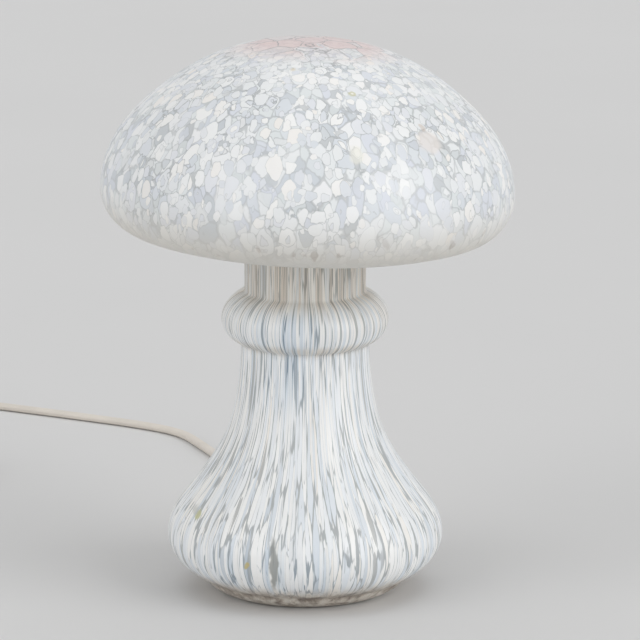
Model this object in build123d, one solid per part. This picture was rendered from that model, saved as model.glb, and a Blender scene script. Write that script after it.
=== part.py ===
from build123d import *
import math
import os

# Table lamp: a blown glass stem on a flared, hollow belly, with a separate blown mushroom cap.
# Millimetres. The origin is the centre of the ring that the lamp stands on, +Z is up, the
# front is at -Y and the mains cord leaves at the back, at +Y.

# ---------------------------------------------------------------- glass base
glass_wall = 4.0
foot_rest_radius = 45.5  # outer edge of the ground rim that stands on the table
foot_bore_radius = 38.0  # open underside
foot_ring_radius = 57.0  # crease between the foot ring and the belly
foot_ring_height = 7.9
foot_heading = 18.0  # headings of an outline, degrees from outward towards up
foot_top_heading = 62.0
belly_start_heading = 25.0
belly_radius = 76.8
belly_height = 31.7
flare_radius = 59.4
flare_height = 64.2
flare_heading = 126.0
waist_radius = 41.0
waist_height = 98.5
waist_heading = 105.0
stem_radius = 35.6  # crease under the ring of the stem
stem_height = 140.8
stem_heading = 92.0
ring_start_heading = 15.0
ring_radius = 46.5  # the round ring below the cap
ring_rise = 13.5  # from the crease up to the ring's widest place
ring_end_heading = 160.0
shoulder_rise = 29.2  # from the crease up to the foot of the neck
shoulder_inner_heading = 125.0
neck_radius = 33.65
neck_length = 20.7  # from the shoulder up to the ground top
neck_rim_round = 0.8

# ---------------------------------------------------------------- glass cap
cap_wall = 3.8
cap_top_rise = 115.0  # rises are measured up from the seat that the cap stands on
cap_dome_radius = 75.4
cap_dome_rise = 91.4
cap_dome_heading = -36.4
cap_radius = 114.6
cap_widest_rise = 32.5
cap_widest_heading = -87.0
cap_rim_radius = 98.6
cap_rim_rise = 8.5
cap_rim_heading = 197.5
underside_rise = 2.0
underside_heading = 182.0
cap_lip_overhang = 0.85  # the lip reaches this far past the neck
cap_lip_allowance = 1.6  # extra lip that is ground away level
cap_seat_width = 7.65  # from the neck's outside in to the cap's opening
cap_lean = 2.0  # degrees towards +X, as hand-blown glass sits

# ---------------------------------------------------------------- neck fittings
neck_gasket_thickness = 1.5
neck_gasket_width = 3.4
edge_setback = 0.4  # rings and plate stop this far inside the neck's outer edge
carrier_thickness = 1.2
carrier_sheet = 0.8  # wall of the skirt under the plate and of the collar on it
skirt_depth = 8.0
skirt_clearance = 0.5
collar_height = 8.0
collar_clearance = 0.7
seat_ring_thickness = 2.0
seat_ring_clearance = 0.3

tube_radius = 5.0  # M10 x 1 all-thread
tube_bore_radius = 3.75
tube_hole_clearance = 0.2
thread_clearance = 0.05
tube_top_above_nut = 3.6
nut_across_flats = 14.0
nut_thickness = 3.0
washer_radius = 9.0
washer_thickness = 1.0
tube_below_nut = 3.0

clamp_bar_length = 64.0
clamp_bar_width = 12.0
clamp_bar_thickness = 3.0
clamp_pad_length = 9.0
clamp_pad_overhang = 1.5  # pads stand past the ends of the bar
clamp_pad_thickness = 3.0
glass_touch_gap = 0.3  # between a soft pad and curved glass

bush_flange_radius = 6.5
bush_flange_thickness = 1.5
bush_spigot_length = 5.0
bush_spigot_clearance = 0.05
bush_bore_clearance = 0.15

# ---------------------------------------------------------------- E14 lampholder
holder_radius = 14.0
holder_foot_radius = 9.5
holder_wall = 1.8
holder_floor = 2.0
holder_chamber_height = 6.6
holder_chamber_radius = 9.6
holder_cap_height = 15.0
holder_flare_height = 8.0
insert_thickness = 7.0
insert_clearance = 0.2
insert_recess_radius = 5.0
insert_recess_depth = 1.4
wire_entry_spacing = 3.0
wire_entry_radius = 1.1
shell_length = 21.0
shell_rim_width = 1.2
shell_rim_height = 3.0
sleeve_length = 16.0
sleeve_wall = 0.5
sleeve_clearance = 0.15
sleeve_flange_radius = 7.9
sleeve_flange_thickness = 0.6
contact_length = 8.0
contact_width = 4.0
contact_thickness = 0.5
contact_rise = 1.6
contact_gap = 0.3
terminal_screw_circle = 9.7
terminal_screw_radius = 1.25
terminal_head_radius = 1.7
terminal_head_height = 1.2
terminal_screw_length = 4.5
lead_radius = 0.9

# ---------------------------------------------------------------- bulb
bulb_length = 71.0
bulb_globe_radius = 22.5
bulb_glass_wall = 0.9
bulb_neck_radius = 6.1
bulb_neck_depth = 3.0
bulb_thread_radius = 6.9
bulb_thread_wall = 0.4
bulb_thread_length = 15.5
bulb_tip_radius = 2.3
bulb_tip_height = 0.8
bulb_insulator_height = 2.2
bulb_insulator_top_radius = 6.3
bulb_stem_radius = 3.2
bulb_stem_length = 24.0
filament_radius = 0.35
filament_span = 14.0
filament_rise = 10.0

# ---------------------------------------------------------------- cord and its grommet
cord_width = 6.0
cord_hole_height = 30.0
cord_hole_radius = 5.6
grommet_clearance = 0.3
grommet_bore_clearance = 0.4
grommet_flange_radius = 7.6
grommet_flange_thickness = 1.6
grommet_inner_flange_radius = 6.8
grommet_inner_gap = 2.4  # the wall curves in towards the flange's lower edge
sleeve_tail_length = 22.0
sleeve_root_radius = 5.5
sleeve_tip_radius = 4.2

# ---------------------------------------------------------------- switch on the cord
switch_x = -284.0
switch_y = 336.0
switch_length = 64.0
switch_width = 27.0
switch_corner = 8.0
switch_split_height = 7.0
switch_height = 17.0
switch_wall = 1.8
switch_edge_round = 2.5
cord_stop_depth = 8.0  # how far a cord end reaches into the switch
cord_stop_thickness = 2.0
cord_notch_clearance = 0.15
boss_radius = 3.2
boss_spacing_x = 18.2
boss_spacing_y = 37.0
switch_screw_radius = 1.3
switch_screw_head_radius = 2.5
switch_screw_head_height = 1.5
switch_screw_length = 11.0
switch_screw_clearance = 0.2
rocker_length = 16.0
rocker_width = 10.0
rocker_pivot_height = 13.6
rocker_rise = 4.6  # top of the rocker above its pivot
rocker_drop = 2.8  # bottom of the rocker below its pivot
rocker_throw = 16.0  # degrees from off to on
rocker_gap = 0.4
rocker_dish_radius = 34.0
rocker_pin_radius = 1.5
rocker_pin_length = 1.4
rocker_pin_clearance = 0.05
cheek_thickness = 1.6
cheek_depth = 5.6
terminal_block = (5.0, 8.0, 3.2)
terminal_block_spacing = 17.0
blade_height = 3.4
blade_thickness = 0.8
bridge_length = 13.0
bridge_width = 4.0
bridge_thickness = 0.6

# ---------------------------------------------------------------- plug
plug_x = -284.0
plug_entry_y = 178.0
plug_relief_length = 20.0
plug_relief_root_radius = 5.2
plug_relief_tip_radius = 4.1
plug_length = 36.0
plug_width = 35.3
plug_back_width = 15.0
plug_thickness = 13.7
plug_edge_round = 3.0
pin_radius = 2.0
pin_length = 19.0
pin_spacing = 18.6
pin_sleeve_length = 10.0
pin_core_radius = 1.4
pin_sleeve_clearance = 0.05
pin_tip_round = 1.2

# ---------------------------------------------------------------- cord coil
coil_x = -284.0  # where the cord enters the coil, heading for the front
coil_y = 240.0
coil_first_radius = 37.5
coil_turn_pitch = 6.6
coil_layer_rise = 6.6
coil_inward_half_turns = 5
coil_outward_half_turns = 6
cord_rest_height = 3.05  # centre of the cord where it lies on the table

# ---------------------------------------------------------------- derived heights
cord_radius = cord_width / 2
ring_height = stem_height + ring_rise
shoulder_height = stem_height + shoulder_rise
neck_height = shoulder_height + neck_length
carrier_base = neck_height + neck_gasket_thickness
carrier_top = carrier_base + carrier_thickness
seat_height = carrier_top + seat_ring_thickness
cap_top_height = seat_height + cap_top_rise
underside_height = seat_height + underside_rise
neck_bore_radius = neck_radius - glass_wall
cap_lip_radius = neck_radius + cap_lip_overhang
cap_opening_radius = neck_radius - cap_seat_width
upper_washer_base = carrier_top
upper_nut_base = upper_washer_base + washer_thickness
holder_base = upper_nut_base + nut_thickness
tube_top = holder_base + tube_top_above_nut
insert_base = holder_base + holder_floor + holder_chamber_height
insert_top = insert_base + insert_thickness
holder_cap_top = holder_base + holder_cap_height
contact_base = insert_top - insert_recess_depth
bulb_base = contact_base + contact_thickness + contact_rise + contact_gap

curve_pull = 0.36  # share of a stretch's length that its end headings steer
to_the_left = 90.0  # degrees from an outline's heading to its left
eps = 0.01


# ---------------------------------------------------------------- outline helpers
def moved(station, heading, length):
    """A (radius, height) point, moved by length along a heading in degrees."""
    turn = math.radians(heading)
    return (station[0] + length * math.cos(turn), station[1] + length * math.sin(turn))


def inset(station, depth):
    """A (radius, height, heading) station, moved to the left of its heading by depth."""
    radius, height = moved(station, station[2] + to_the_left, depth)
    return (radius, height, station[2])


def at(point):
    """A (radius, height) point in the plane that the outlines are drawn in."""
    return (point[0], 0, point[1])


def flowing(stations):
    """Smooth edges through (radius, height, heading) stations."""
    edges = []
    for start, end in zip(stations, stations[1:]):
        pull = curve_pull * math.hypot(end[0] - start[0], end[1] - start[1])
        edges.append(
            Bezier(at(start), at(moved(start, start[2], pull)), at(moved(end, end[2], -pull)), at(end))
        )
    return edges


def straight(*points):
    """Straight edges through (radius, height) points."""
    return [Line(at(a), at(b)) for a, b in zip(points, points[1:]) if math.dist(a[:2], b[:2]) > eps]


def turned(edges):
    """The solid of a closed outline, turned about the lamp's axis."""
    return revolve(Face(Wire(edges)), axis=Axis.Z)


def turned_outline(*points):
    """The solid of a closed outline of straight edges, turned about the lamp's axis."""
    return turned(straight(*points, points[0]))


def ring(inner, outer, low, high):
    """A flat ring about the lamp's axis."""
    return turned_outline((inner, low), (outer, low), (outer, high), (inner, high))


def disc(radius, low, high):
    """A plain cylinder about the lamp's axis."""
    return Pos(0, 0, (low + high) / 2) * Cylinder(radius, high - low)


def crossing(edges, value, of_height):
    """Where an outline passes a height, as its radius there, or a radius, as its height there."""
    want, give = (2, 0) if of_height else (0, 2)
    for edge in edges:
        low, high = 0.0, 1.0
        start = tuple(edge.position_at(low))
        end = tuple(edge.position_at(high))
        if (start[want] - value) * (end[want] - value) > 0:
            continue
        for _ in range(40):
            middle = (low + high) / 2
            here = tuple(edge.position_at(middle))
            if (here[want] - value) * (start[want] - value) > 0:
                low = middle
            else:
                high = middle
        return tuple(edge.position_at(high))[give]
    raise ValueError(f"the outline doesn't pass {value}")


# ---------------------------------------------------------------- glass base
belly_stations = [
    (foot_ring_radius, foot_ring_height, belly_start_heading),
    (belly_radius, belly_height, 90.0),
    (flare_radius, flare_height, flare_heading),
    (waist_radius, waist_height, waist_heading),
    (stem_radius, stem_height, stem_heading),
]
ring_stations = [
    (stem_radius, stem_height, ring_start_heading),
    (ring_radius, ring_height, 90.0),
    (neck_radius, shoulder_height, ring_end_heading),
]
belly_outside = flowing(belly_stations)
belly_inside = flowing([inset(s, glass_wall) for s in belly_stations])
ring_inside = flowing(
    [
        inset(belly_stations[-1], glass_wall),
        (ring_radius - glass_wall, ring_height, 90.0),
        (neck_bore_radius, shoulder_height, shoulder_inner_heading),
    ]
)


def make_glass_base():
    foot = (foot_rest_radius, 0.0)
    foot_outside = flowing(
        [(*foot, foot_heading), (foot_ring_radius, foot_ring_height, foot_top_heading)]
    )
    inner_start = inset(belly_stations[0], glass_wall)
    rim_outer = (neck_radius, neck_height - neck_rim_round)
    rim_top_outer = (neck_radius - neck_rim_round, neck_height)
    rim_top_inner = (neck_bore_radius + neck_rim_round, neck_height)
    rim_inner = (neck_bore_radius, neck_height - neck_rim_round)
    edges = foot_outside + belly_outside + flowing(ring_stations)
    edges += straight((neck_radius, shoulder_height), rim_outer)
    edges += flowing([(*rim_outer, 90.0), (*rim_top_outer, 180.0)])
    edges += straight(rim_top_outer, rim_top_inner)
    edges += flowing([(*rim_top_inner, 180.0), (*rim_inner, 270.0)])
    edges += straight(rim_inner, (neck_bore_radius, shoulder_height))
    edges += ring_inside + belly_inside
    edges += straight(
        inner_start, (foot_bore_radius, inner_start[1]), (foot_bore_radius, 0.0), foot
    )
    hole = Pos(0, belly_radius, cord_hole_height) * Rot(90, 0, 0)
    return turned(edges) - hole * Cylinder(cord_hole_radius, belly_radius)


# ---------------------------------------------------------------- glass cap
cap_stations = [
    (0.0, cap_top_height, 0.0),
    (cap_dome_radius, seat_height + cap_dome_rise, cap_dome_heading),
    (cap_radius, seat_height + cap_widest_rise, cap_widest_heading),
    (cap_rim_radius, seat_height + cap_rim_rise, cap_rim_heading - 360),
    (cap_lip_radius, underside_height, underside_heading - 360),
]


def make_glass_cap():
    inside = flowing([inset(s, -cap_wall) for s in cap_stations])
    inner_top = inset(cap_stations[0], -cap_wall)
    inner_lip = inset(cap_stations[-1], -cap_wall)
    lip_low = seat_height - cap_lip_allowance
    lip_bore = cap_opening_radius - cap_lip_allowance
    edges = flowing(cap_stations)
    edges += straight(
        (cap_lip_radius, underside_height),
        (cap_lip_radius, lip_low),
        (lip_bore, lip_low),
        (lip_bore, inner_lip[1]),
        inner_lip,
    )
    edges += inside
    edges += straight(inner_top, (0.0, cap_top_height))
    leaning = turned(edges).rotate(Axis((0, 0, seat_height), (0, 1, 0)), cap_lean)
    below_seat = disc(cap_lip_radius + cap_wall, seat_height - 3 * cap_lip_allowance, seat_height)
    opening = disc(cap_opening_radius, lip_low - cap_wall, underside_height + 2 * cap_wall)
    return leaning - below_seat - opening


# ---------------------------------------------------------------- neck fittings
def make_neck_gasket():
    outer = neck_radius - edge_setback
    return ring(outer - neck_gasket_width, outer, neck_height, carrier_base)


def make_carrier_plate():
    outer = neck_radius - edge_setback
    return ring(tube_radius + tube_hole_clearance, outer, carrier_base, carrier_top)


def make_plate_skirt():
    outer = neck_bore_radius - skirt_clearance
    return ring(outer - carrier_sheet, outer, carrier_base - skirt_depth, carrier_base)


def make_cap_collar():
    outer = cap_opening_radius - collar_clearance
    return ring(outer - carrier_sheet, outer, carrier_top, carrier_top + collar_height)


def make_cap_seat_ring():
    inner = cap_opening_radius - collar_clearance + seat_ring_clearance
    return ring(inner, neck_radius - edge_setback, carrier_top, seat_height)


# The pads reach the glass at their outer corners, which sets the height of the bar.
pad_reach = math.hypot(clamp_bar_length / 2 + clamp_pad_overhang, clamp_bar_width / 2)
pad_top = crossing(ring_inside[1:], pad_reach, False) - glass_touch_gap
bar_top = pad_top - clamp_pad_thickness
bar_base = bar_top - clamp_bar_thickness
lower_washer_base = bar_base - washer_thickness
lower_nut_base = lower_washer_base - nut_thickness
tube_base = lower_nut_base - tube_below_nut


def make_clamp_bar():
    bar = Pos(0, 0, (bar_base + bar_top) / 2) * Box(
        clamp_bar_length, clamp_bar_width, clamp_bar_thickness
    )
    bar = fillet(bar.edges().filter_by(Axis.Z), clamp_bar_width / 4)
    return bar - disc(tube_radius + tube_hole_clearance, bar_base - 1, bar_top + 1)


def make_clamp_pads():
    middle = clamp_bar_length / 2 + clamp_pad_overhang - clamp_pad_length / 2
    pad = Box(clamp_pad_length, clamp_bar_width, clamp_pad_thickness)
    height = (bar_top + pad_top) / 2
    return [Pos(side * middle, 0, height) * pad for side in (-1, 1)]


def make_threaded_tube():
    return ring(tube_bore_radius, tube_radius, tube_base, tube_top)


def make_tube_nuts():
    nuts = []
    for base in (upper_nut_base, lower_nut_base):
        flats = extrude(RegularPolygon(nut_across_flats / 2, 6, major_radius=False), nut_thickness)
        hole = disc(tube_radius + thread_clearance, base - 1, base + nut_thickness + 1)
        nuts.append(Pos(0, 0, base) * flats - hole)
    return nuts


def make_tube_washers():
    inner = tube_radius + tube_hole_clearance
    bases = (upper_washer_base, lower_washer_base)
    return [ring(inner, washer_radius, base, base + washer_thickness) for base in bases]


def make_cord_bush():
    bore = cord_radius + bush_bore_clearance
    spigot = tube_bore_radius - bush_spigot_clearance
    low = tube_base - bush_flange_thickness
    return turned_outline(
        (bore, low),
        (bush_flange_radius, low),
        (bush_flange_radius, tube_base),
        (spigot, tube_base),
        (spigot, tube_base + bush_spigot_length),
        (bore, tube_base + bush_spigot_length),
    )


# ---------------------------------------------------------------- lampholder
insert_radius = holder_radius - holder_wall - insert_clearance


def make_holder_cap():
    hole = tube_radius + thread_clearance
    floor = holder_base + holder_floor
    return turned_outline(
        (hole, holder_base),
        (holder_foot_radius, holder_base),
        (holder_radius, holder_base + holder_flare_height),
        (holder_radius, holder_cap_top),
        (holder_radius - holder_wall, holder_cap_top),
        (holder_radius - holder_wall, insert_base),
        (holder_chamber_radius, insert_base),
        (holder_chamber_radius, insert_base - holder_chamber_height / 2),
        (holder_foot_radius - holder_wall, floor),
        (hole, floor),
    )


def screw_places():
    """Centres of the two terminal screws."""
    return [(0, side * terminal_screw_circle) for side in (-1, 1)]


def make_holder_insert():
    insert = disc(insert_radius, insert_base, insert_top)
    insert -= disc(insert_recess_radius, contact_base, insert_top + 1)
    for x, y in screw_places():
        depth = terminal_screw_length
        hole = Cylinder(terminal_screw_radius + thread_clearance, depth)
        insert -= Pos(x, y, insert_top - depth / 2) * hole
    for side in (-1, 1):
        entry = Cylinder(wire_entry_radius, contact_base - insert_base)
        middle = (insert_base + contact_base) / 2
        insert -= Pos(side * (wire_entry_spacing / 2 + contact_width / 2), 0, middle) * entry
    return insert


def make_terminal_screws():
    screws = []
    for x, y in screw_places():
        shank = Cylinder(terminal_screw_radius, terminal_screw_length)
        head = Cylinder(terminal_head_radius, terminal_head_height)
        slot = Box(3 * terminal_head_radius, 0.5, 0.6)
        screw = Pos(x, y, insert_top - terminal_screw_length / 2) * shank
        screw += Pos(x, y, insert_top + terminal_head_height / 2) * head
        screws.append(screw - Pos(x, y, insert_top + terminal_head_height) * slot)
    return screws


def make_thread_sleeve():
    inner = bulb_thread_radius + sleeve_clearance
    flange_top = insert_top + sleeve_flange_thickness
    return turned_outline(
        (inner, insert_top),
        (sleeve_flange_radius, insert_top),
        (sleeve_flange_radius, flange_top),
        (inner + sleeve_wall, flange_top),
        (inner + sleeve_wall, insert_top + sleeve_length),
        (inner, insert_top + sleeve_length),
    )


def make_centre_contact():
    half = contact_length / 2
    thick = contact_thickness
    side = [
        (-half, 0),
        (-half / 3, 0),
        (half / 2, contact_rise),
        (half, contact_rise),
        (half, contact_rise + thick),
        (half / 3, contact_rise + thick),
        (-half / 2, thick),
        (-half, thick),
    ]
    outline = Polyline(*[(x, 0, contact_base + z) for x, z in side], close=True)
    strip = extrude(Face(Wire(outline.edges())), contact_width / 2, dir=(0, 1, 0), both=True)
    return strip


def make_holder_shell():
    inner = holder_radius - holder_wall
    top = holder_cap_top + shell_length
    rim = holder_radius + shell_rim_width
    return turned_outline(
        (inner, holder_cap_top),
        (holder_radius, holder_cap_top),
        (holder_radius, top - shell_rim_height),
        (rim, top - shell_rim_height),
        (rim, top),
        (inner, top),
    )


# ---------------------------------------------------------------- bulb
bulb_thread_base = bulb_base + bulb_tip_height + bulb_insulator_height
bulb_thread_top = bulb_thread_base + bulb_thread_length
globe_centre = bulb_base + bulb_length - bulb_globe_radius


def globe_outline(wall):
    """Edges of the bulb's glass from its neck to its top, moved in by a wall."""
    neck = (bulb_neck_radius - wall, bulb_thread_top - bulb_neck_depth)
    lip = (bulb_neck_radius - wall, bulb_thread_top)
    side = (bulb_globe_radius - wall, globe_centre)
    top = (0.0, globe_centre + bulb_globe_radius - wall)
    edges = straight(neck, lip)
    edges += flowing([(*lip, 60.0), (*side, 90.0)])
    middle = moved((0.0, globe_centre), 45.0, bulb_globe_radius - wall)
    edges.append(ThreePointArc(at(side), at(middle), at(top)))
    return edges


def make_bulb_glass():
    low = bulb_thread_top - bulb_neck_depth
    top = globe_centre + bulb_globe_radius
    edges = globe_outline(0.0) + globe_outline(bulb_glass_wall)
    edges += straight((bulb_neck_radius - bulb_glass_wall, low), (bulb_neck_radius, low))
    edges += straight((0.0, top), (0.0, top - bulb_glass_wall))
    return turned(edges)


def make_bulb_screw_cap():
    inner = bulb_thread_radius - bulb_thread_wall
    return ring(inner, bulb_thread_radius, bulb_thread_base, bulb_thread_top)


def make_bulb_insulator():
    low = bulb_base + bulb_tip_height
    return turned_outline(
        (0.0, low),
        (bulb_tip_radius, low),
        (bulb_insulator_top_radius, bulb_thread_base),
        (0.0, bulb_thread_base),
    ) + disc(bulb_thread_radius - bulb_thread_wall - eps, bulb_thread_base, bulb_thread_base + 1)


def make_bulb_tip():
    return disc(bulb_tip_radius, bulb_base, bulb_base + bulb_tip_height)


bulb_stem_base = bulb_thread_base + 1
bulb_stem_top = bulb_stem_base + bulb_stem_length


def make_bulb_stem():
    foot = bulb_neck_radius - bulb_glass_wall - seat_ring_clearance
    return turned_outline(
        (0.0, bulb_stem_base),
        (foot, bulb_stem_base),
        (bulb_stem_radius, bulb_stem_base + bulb_stem_length / 2),
        (bulb_stem_radius / 2, bulb_stem_top),
        (0.0, bulb_stem_top),
    )


def make_bulb_filament():
    foot = bulb_stem_radius / 4
    reach = filament_span / 2
    bend = bulb_stem_top + filament_rise / 4
    high = bulb_stem_top + filament_rise
    route = [
        (-foot, 0, bulb_stem_top),
        (-foot, 0, bend),
        (-reach, 0, high),
        (0, 0, high + filament_radius * 8),
        (reach, 0, high),
        (foot, 0, bend),
        (foot, 0, bulb_stem_top),
    ]
    path = FilletPolyline(*route, radius=filament_radius * 2)
    return sweep(Pos(*route[0]) * Circle(filament_radius), path=path)


# ---------------------------------------------------------------- cords
def arc_radii(route):
    """For each corner, the arc that its two runs leave room for."""
    radii = []
    for before, corner, after in zip(route, route[1:], route[2:]):
        incoming = Vector(*corner) - Vector(*before)
        outgoing = Vector(*after) - Vector(*corner)
        half_turn = math.radians(incoming.get_angle(outgoing) / 2)
        radii.append(0.45 * min(incoming.length, outgoing.length) / math.tan(half_turn))
    return radii


def cord_tube(name, route):
    """A round tube of straight runs and tangent arcs along a route."""
    radii = arc_radii(route)
    path = FilletPolyline(*route, radius=radii)
    heading = Vector(*route[1]) - Vector(*route[0])
    start = Plane(origin=route[0], z_dir=heading)
    tube = sweep(start * Circle(cord_radius), path=path)
    expected = math.pi * cord_radius**2 * path.length
    print(f"{name}: length {path.length:.0f}, radii {[round(r) for r in radii]},")
    print(f"  volume {tube.volume:.0f}, section times length {expected:.0f}")
    return tube


hole_y = crossing(belly_outside, cord_hole_height, True)
flange_y = hole_y + grommet_clearance
exit_y = flange_y + grommet_flange_thickness + sleeve_tail_length
inner_flange_y = crossing(belly_inside, cord_hole_height, True) - grommet_inner_gap

inner_route = [
    (0, 0, tube_top),
    (0, 0, 112),
    (0, 10, 72),
    (0, 32, 40),
    (0, 58, cord_hole_height),
    (0, exit_y, cord_hole_height),
]

stop_y = switch_length / 2 - cord_stop_depth
cord_height_in_switch = switch_split_height
route_to_switch = [
    (0, exit_y, cord_hole_height),
    (0, exit_y + 25, cord_hole_height),
    (-3, 150, 18),
    (-13, 179, 3.2),
    (-26, 211, cord_rest_height),
    (-38.5, 241, cord_rest_height),
    (-50, 271, cord_rest_height),
    (-63.5, 306, cord_rest_height),
    (-77.5, 341, cord_rest_height),
    (-104, 362, cord_rest_height),
    (-146, 385, cord_rest_height),
    (-190, 408, cord_rest_height),
    (-222, 424, cord_rest_height),
    (-247, 428, cord_rest_height),
    (-273, 416, cord_rest_height),
    (switch_x, switch_y + stop_y + 26, cord_height_in_switch),
    (switch_x, switch_y + stop_y, cord_height_in_switch),
]
route_from_switch = [
    (switch_x, switch_y - stop_y, cord_height_in_switch),
    (switch_x, 291, cord_height_in_switch),
    (coil_x, 267, cord_rest_height),
    (coil_x, coil_y + cord_width, cord_rest_height),
]
coil_top_height = cord_rest_height + coil_layer_rise
plug_axis_height = plug_thickness / 2
route_to_plug = [
    (coil_x, coil_y - cord_width, coil_top_height),
    (coil_x, 213, coil_top_height),
    (plug_x, plug_entry_y + 6.5, plug_axis_height),
    (plug_x, plug_entry_y - plug_relief_length, plug_axis_height),
]


def coil_path():
    """Half turns that wind in on the table, climb one layer and wind out again, as arcs."""
    step = coil_turn_pitch / 2
    x, y, low, high = coil_x, coil_y, cord_rest_height, coil_top_height
    edges = [Line((x, y + cord_width, low), (x, y, low))]
    radius, side = coil_first_radius, 1
    for _ in range(coil_inward_half_turns):
        edges.append(half_turn(x, y, low, radius, side))
        x, radius, side = x + side * 2 * radius, radius - step, -side
    across = math.hypot(2 * radius, high - low) / 2
    top = (x + side * radius, y - side * across, (low + high) / 2)
    end = (x + side * 2 * radius, y, high)
    edges.append(TangentArc((x, y, low), top, tangent=(0, -side, 0)))
    edges.append(TangentArc(top, end, tangent=edges[-1] % 1))
    x, radius, side = end[0], radius + step, -side
    for _ in range(coil_outward_half_turns):
        edges.append(half_turn(x, y, high, radius, side))
        x, radius, side = x + side * 2 * radius, radius + step, -side
    edges.append(Line((x, y, high), (x, y - cord_width, high)))
    return Wire(edges)


def half_turn(x, y, height, radius, side):
    """A level half circle from (x, y): side 1 runs by the front to the right, -1 back again."""
    middle = (x + side * radius, y - side * radius, height)
    return ThreePointArc((x, y, height), middle, (x + side * 2 * radius, y, height))


def least_gap(path):
    """The least gap between turns of a wound tube, from points along its path."""
    count = 900
    points = [path @ (k / count) for k in range(count + 1)]
    apart = 8 + int(count * math.pi * cord_width / path.length)
    return min(
        (points[i] - points[j]).length
        for i in range(0, count + 1, 2)
        for j in range(i + apart, count + 1)
    ) - cord_width


def make_cord_coil():
    path = coil_path()
    start = Plane(origin=(coil_x, coil_y + cord_width, cord_rest_height), z_dir=(0, -1, 0))
    coil = sweep(start * Circle(cord_radius), path=path)
    print(f"cord_coil: length {path.length:.0f}, least gap {least_gap(path):.2f}")
    expected = math.pi * cord_radius**2 * path.length
    print(f"  volume {coil.volume:.0f}, section times length {expected:.0f}")
    return coil


def make_lead_wires():
    rise = insert_base - tube_top
    places = [side * wire_entry_spacing / 2 for side in (-1, 1)]
    return [Pos(x, 0, tube_top + rise / 2) * Cylinder(lead_radius, rise) for x in places]


def make_cord_grommet():
    """Turned about the lamp's axis first, then laid along the hole in the glass."""
    bore = cord_radius + grommet_bore_clearance
    body = cord_hole_radius - grommet_clearance
    outer_face = flange_y + grommet_flange_thickness
    profile = turned_outline(
        (bore, inner_flange_y - grommet_flange_thickness),
        (grommet_inner_flange_radius, inner_flange_y - grommet_flange_thickness),
        (grommet_inner_flange_radius, inner_flange_y),
        (body, inner_flange_y),
        (body, flange_y),
        (grommet_flange_radius, flange_y),
        (grommet_flange_radius, outer_face),
        (sleeve_root_radius, outer_face),
        (sleeve_tip_radius, exit_y),
        (bore, exit_y),
    )
    return Pos(0, 0, cord_hole_height) * Rot(-90, 0, 0) * profile


# ---------------------------------------------------------------- switch on the cord
def in_switch(shape):
    """Moves a shape from the switch's own middle to its place on the table."""
    return Pos(switch_x, switch_y, 0) * shape


def switch_block(low, high, shrink=0.0):
    """A round-cornered block of the switch's plan."""
    plan = RectangleRounded(
        switch_width - 2 * shrink, switch_length - 2 * shrink, switch_corner - shrink
    )
    return Pos(0, 0, low) * extrude(plan, high - low)


def cord_notches():
    """The round ways in for the cord, at both ends."""
    bore = Cylinder(cord_radius + cord_notch_clearance, switch_length + 2, rotation=(90, 0, 45))
    return Pos(0, 0, switch_split_height) * bore


def cord_stops(low, high):
    """Walls that the two cord ends meet inside."""
    width = switch_width - 2 * switch_wall
    wall = Box(width, cord_stop_thickness, high - low)
    middle = stop_y - cord_stop_thickness / 2
    return [Pos(0, side * middle, (low + high) / 2) * wall for side in (-1, 1)]


def boss_places():
    """Centres of the two screw bosses, at opposite corners."""
    return [(s * boss_spacing_x / 2, s * boss_spacing_y / 2) for s in (-1, 1)]


def make_switch_base():
    tray = switch_block(0, switch_split_height)
    tray = fillet(tray.faces().sort_by(Axis.Z)[0].edges(), switch_wall / 3)
    tray -= switch_block(switch_wall, switch_split_height + 1, switch_wall)
    for stop in cord_stops(switch_wall, switch_split_height):
        tray += stop
    for x, y in boss_places():
        height = switch_split_height - switch_wall
        tray += Pos(x, y, switch_wall + height / 2) * Cylinder(boss_radius, height)
    middle = cord_stops_middle()
    tray -= cord_notches() - middle
    for x, y in boss_places():
        way = Cylinder(switch_screw_radius + switch_screw_clearance, 3 * switch_split_height)
        seat_depth = switch_screw_head_height + switch_screw_clearance
        seat = Cylinder(switch_screw_head_radius + switch_screw_clearance, 2 * seat_depth)
        tray -= Pos(x, y, 0) * way
        tray -= Pos(x, y, 0) * seat
    return in_switch(tray)


def cord_stops_middle():
    """The stretch between the outer faces of the cord stops, which the ways in leave whole."""
    return Pos(0, 0, switch_split_height) * Box(switch_width, 2 * stop_y, switch_height)


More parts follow.
